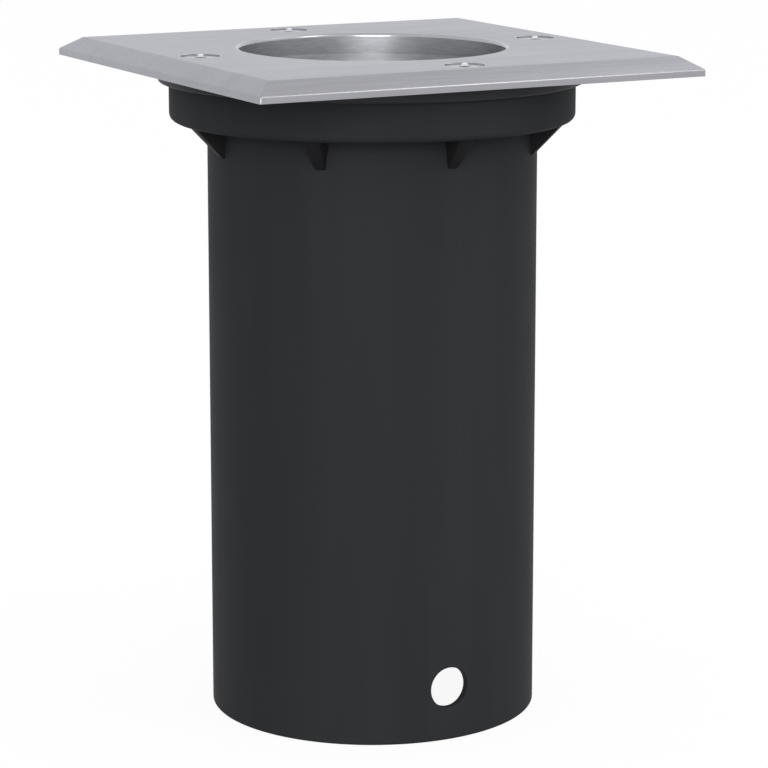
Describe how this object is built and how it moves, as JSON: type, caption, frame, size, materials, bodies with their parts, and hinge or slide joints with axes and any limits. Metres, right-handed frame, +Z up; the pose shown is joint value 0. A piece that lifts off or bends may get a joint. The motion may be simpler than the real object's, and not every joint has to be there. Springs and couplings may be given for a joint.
{
  "type": "in-ground well light",
  "caption": "In-ground well light: a square bevelled steel cover with a round lens over a lamp housing that hangs in a round ribbed plastic sleeve.",
  "frame": {"origin": "centre of the sleeve's open foot, on the plane that the light stands on", "axes": "+Z up towards the cover, -Y out through the cable hole, X and Y along the cover's sides"},
  "size_m": [0.11, 0.11, 0.155],
  "materials": {
    "sleeve_plastic": "moulded, fine satin",
    "plate_steel": "brushed stainless",
    "screw_steel": "plain stainless",
    "lens_glass": "clear polished",
    "seal_rubber": "matt",
    "gasket_silicone": "translucent grey silicone",
    "housing_coat": "black powder coat on cast aluminium",
    "lamp_shell": "satin white",
    "lamp_diffuser": "frosted",
    "lamp_socket": "satin white",
    "pin_nickel": "nickel plated",
    "holder_ceramic": "glazed ceramic",
    "contact_brass": "plain",
    "bracket_zinc": "zinc plated",
    "block_nylon": "natural",
    "wire_brown": "silicone",
    "wire_blue": "silicone",
    "wire_green": "silicone",
    "gland_nylon": "moulded"
  },
  "bodies": {
    "sleeve": {"mounting_sleeve": "sleeve_plastic"},
    "lamp_unit": {"cover_plate": "plate_steel", "cover_screws": "screw_steel", "lens_gasket": "gasket_silicone", "lens_glass": "lens_glass", "lamp_housing": "housing_coat", "lamp_holder": "holder_ceramic", "holder_contacts": "contact_brass", "holder_screws": "screw_steel", "holder_bracket": "bracket_zinc", "bracket_screws": "screw_steel", "terminal_block": "block_nylon", "terminal_clamps": "contact_brass", "terminal_screws": "screw_steel", "block_screw": "screw_steel", "live_wire": "wire_brown", "neutral_wire": "wire_blue", "earth_wire": "wire_green", "earth_ring_terminal": "pin_nickel", "earth_screw": "contact_brass", "gland_body": "gland_nylon", "gland_washer": "seal_rubber", "gland_locknut": "gland_nylon", "gland_seal": "seal_rubber", "gland_cap": "gland_nylon"},
    "lamp": {"lamp_body": "lamp_shell", "lamp_lens": "lamp_diffuser", "lamp_base": "lamp_socket", "lamp_pins": "pin_nickel"}
  },
  "joints": [
    {"name": "lift_out", "type": "slide", "parent": "sleeve", "child": "lamp_unit", "axis": [0, 0, 1], "range_m": [0, 0.13]},
    {"name": "lamp_twist", "type": "hinge", "parent": "lamp_unit", "child": "lamp", "pos_m": [0, 0, 0.091], "axis": [0, 0, 1], "range_deg": [0, 25]}
  ]
}
